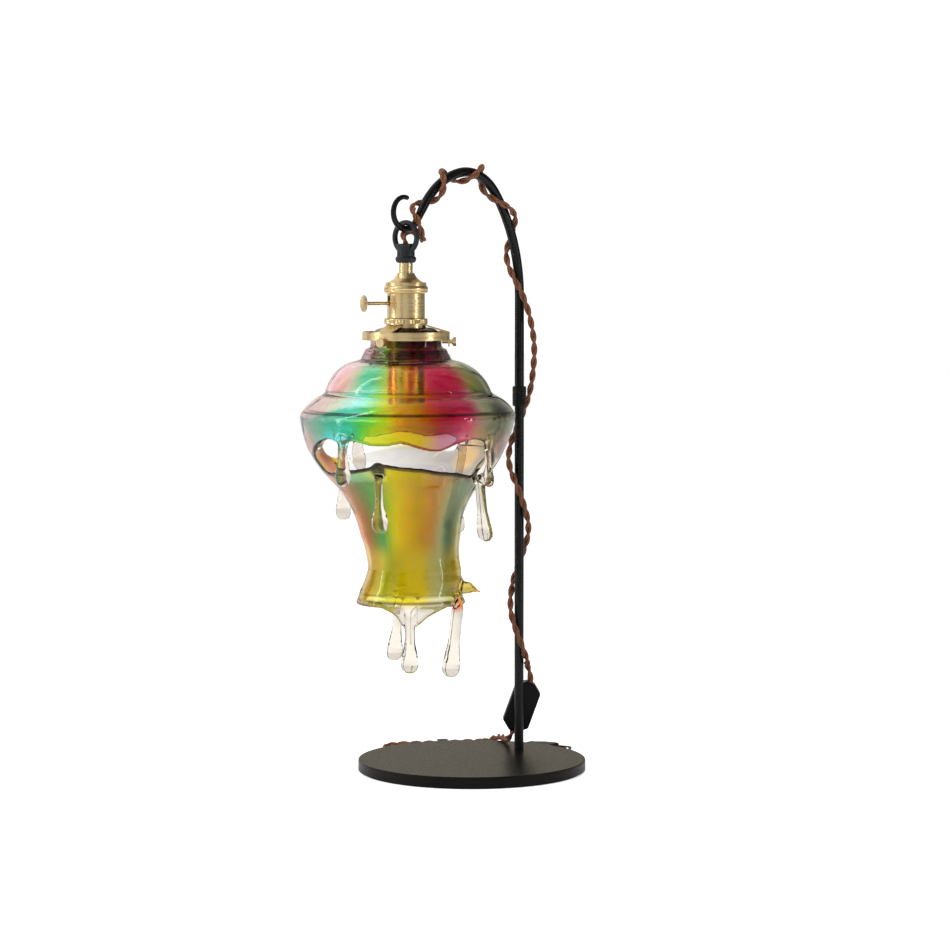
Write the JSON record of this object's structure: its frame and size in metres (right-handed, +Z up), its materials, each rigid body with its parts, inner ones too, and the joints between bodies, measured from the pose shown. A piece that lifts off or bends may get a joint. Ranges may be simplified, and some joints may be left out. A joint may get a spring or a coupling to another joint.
{
  "type": "table lamp",
  "caption": "Table lamp: a steel crook on a round foot, a melted-glass bell hung from its hook, a brass key lampholder and a twisted cord wound down to an in-line dimmer.",
  "frame": {"origin": "centre of the foot's underside, on the table", "axes": "+Z up, +X from the centre towards the post, the crook and its hook in the XZ plane"},
  "size_m": [0.3414, 0.266, 0.6061],
  "materials": {
    "foot_pad": "soft matte pad",
    "powder_coat": "fine satin powder coat",
    "black_steel": "satin black paint",
    "steel_screw": "zinc plated",
    "black_iron": "black cast iron, lightly oiled",
    "brass": "satin spun brass",
    "ceramic": "glazed ceramic",
    "nickel": "nickel plate",
    "melted_glass": "clear glass with rainbow tints",
    "cord_braid": "twisted brown braid",
    "black_moulding": "fine matte moulding",
    "inner_moulding": "phenolic moulding",
    "circuit": "circuit board"
  },
  "bodies": {
    "stand": {"base_pad": "foot_pad", "base_plate": "powder_coat", "post_screw": "steel_screw", "post_washer": "steel_screw", "lower_post": "black_steel", "coupling_stud": "steel_screw", "coupling_collar": "black_steel", "arm": "black_steel", "cord_main": "cord_braid", "cord_tail": "cord_braid", "cord_hank": "cord_braid", "cord_end": "cord_braid", "hank_tie": "black_moulding", "plug_body": "black_moulding", "plug_pins": "nickel", "dimmer_case_front": "black_moulding", "dimmer_case_back": "black_moulding", "case_screws": "steel_screw", "wheel_axle": "steel_screw", "dimmer_board": "circuit"},
    "pendant": {"loop_cap": "black_iron", "cord_grip": "inner_moulding", "cord_lead": "cord_braid", "neck_tube": "brass", "socket_cap": "brass", "cap_screw": "brass", "socket_collar": "brass", "socket_body": "brass", "lower_collar": "brass", "socket_skirt": "brass", "shade_clamp_ring": "brass", "socket_insulator": "ceramic", "screw_shell": "nickel", "centre_contact": "nickel", "switch_block": "inner_moulding", "socket_leads": "cord_braid", "gallery": "brass", "glass_shade": "melted_glass"},
    "switch_key": {"key": "brass"},
    "thumb_screw_left": {"thumb_screw_1": "brass"},
    "thumb_screw_right": {"thumb_screw_2": "brass"},
    "thumb_screw_rear": {"thumb_screw_3": "brass"},
    "wheel": {"dimmer_wheel": "black_moulding"}
  },
  "joints": [
    {"name": "pendant_swing", "type": "hinge", "parent": "stand", "child": "pendant", "pos_m": [-0.0962, 0, 0.5411], "axis": [1, 0, 0], "range_deg": [-15, 15]},
    {"name": "key_turn", "type": "hinge", "parent": "pendant", "child": "switch_key", "pos_m": [-0.0962, 0, 0.46945], "axis": [-0.9311, 0.3649, 0], "continuous": true},
    {"name": "dimmer_turn", "type": "hinge", "parent": "stand", "child": "wheel", "pos_m": [0.08688, 0.00669, 0.04413], "axis": [0.7478, 0.6639, 0], "range_deg": [-135, 135]},
    {"name": "thumb_screw_left_draw", "type": "slide", "parent": "pendant", "child": "thumb_screw_left", "axis": [-0.9796, -0.2011, 0], "range_m": [0, 0.005]},
    {"name": "thumb_screw_right_draw", "type": "slide", "parent": "pendant", "child": "thumb_screw_right", "axis": [0.6639, -0.7478, 0], "range_m": [0, 0.005]},
    {"name": "thumb_screw_rear_draw", "type": "slide", "parent": "pendant", "child": "thumb_screw_rear", "axis": [0.3156, 0.9489, 0], "range_m": [0, 0.005]}
  ]
}
